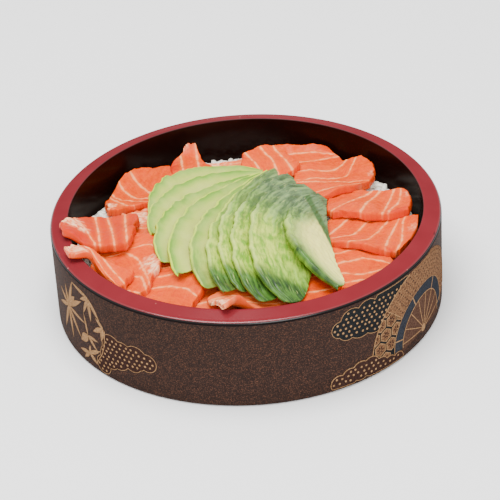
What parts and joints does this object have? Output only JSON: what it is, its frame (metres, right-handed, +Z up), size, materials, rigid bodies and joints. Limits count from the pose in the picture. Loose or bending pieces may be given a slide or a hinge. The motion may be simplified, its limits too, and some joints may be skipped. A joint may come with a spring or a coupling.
{
  "type": "chirashi bowl",
  "caption": "Low round lacquer tub filled with sushi rice, topped with overlapping slices of raw salmon and a fan of avocado slices; a ready-to-eat rice bowl.",
  "frame": {"origin": "the middle of the tub's foot, on the surface that it stands on", "axes": "+Z up; -Y is the front, towards the picture's viewer; +X to the viewer's right"},
  "size_m": [0.19, 0.19, 0.0651],
  "materials": {
    "tub_lacquer": "satin speckled lacquer with a red band on the rim and gold motifs",
    "rice": "moist cooked grains",
    "salmon": "moist raw flesh with pale fat lines",
    "avocado": "creamy flesh, green along the peel side"
  },
  "bodies": {
    "root": {"tub": "tub_lacquer", "rice": "rice", "salmon_back_strip": "salmon", "salmon_front_inner": "salmon", "salmon_left_inner": "salmon", "salmon_front_rim": "salmon", "salmon_front_right": "salmon", "salmon_front_left": "salmon", "salmon_back_low": "salmon", "salmon_back_curl": "salmon", "salmon_left_back": "salmon", "salmon_right_front": "salmon", "salmon_right": "salmon", "salmon_right_back": "salmon", "salmon_back_right": "salmon", "salmon_back": "salmon", "salmon_left_low": "salmon", "salmon_left_front": "salmon", "salmon_left": "salmon", "avocado_slice_01": "avocado", "avocado_slice_02": "avocado", "avocado_slice_03": "avocado", "avocado_slice_04": "avocado", "avocado_slice_05": "avocado", "avocado_slice_06": "avocado", "avocado_slice_07": "avocado", "avocado_slice_08": "avocado", "avocado_slice_09": "avocado", "avocado_slice_10": "avocado"}
  },
  "joints": []
}
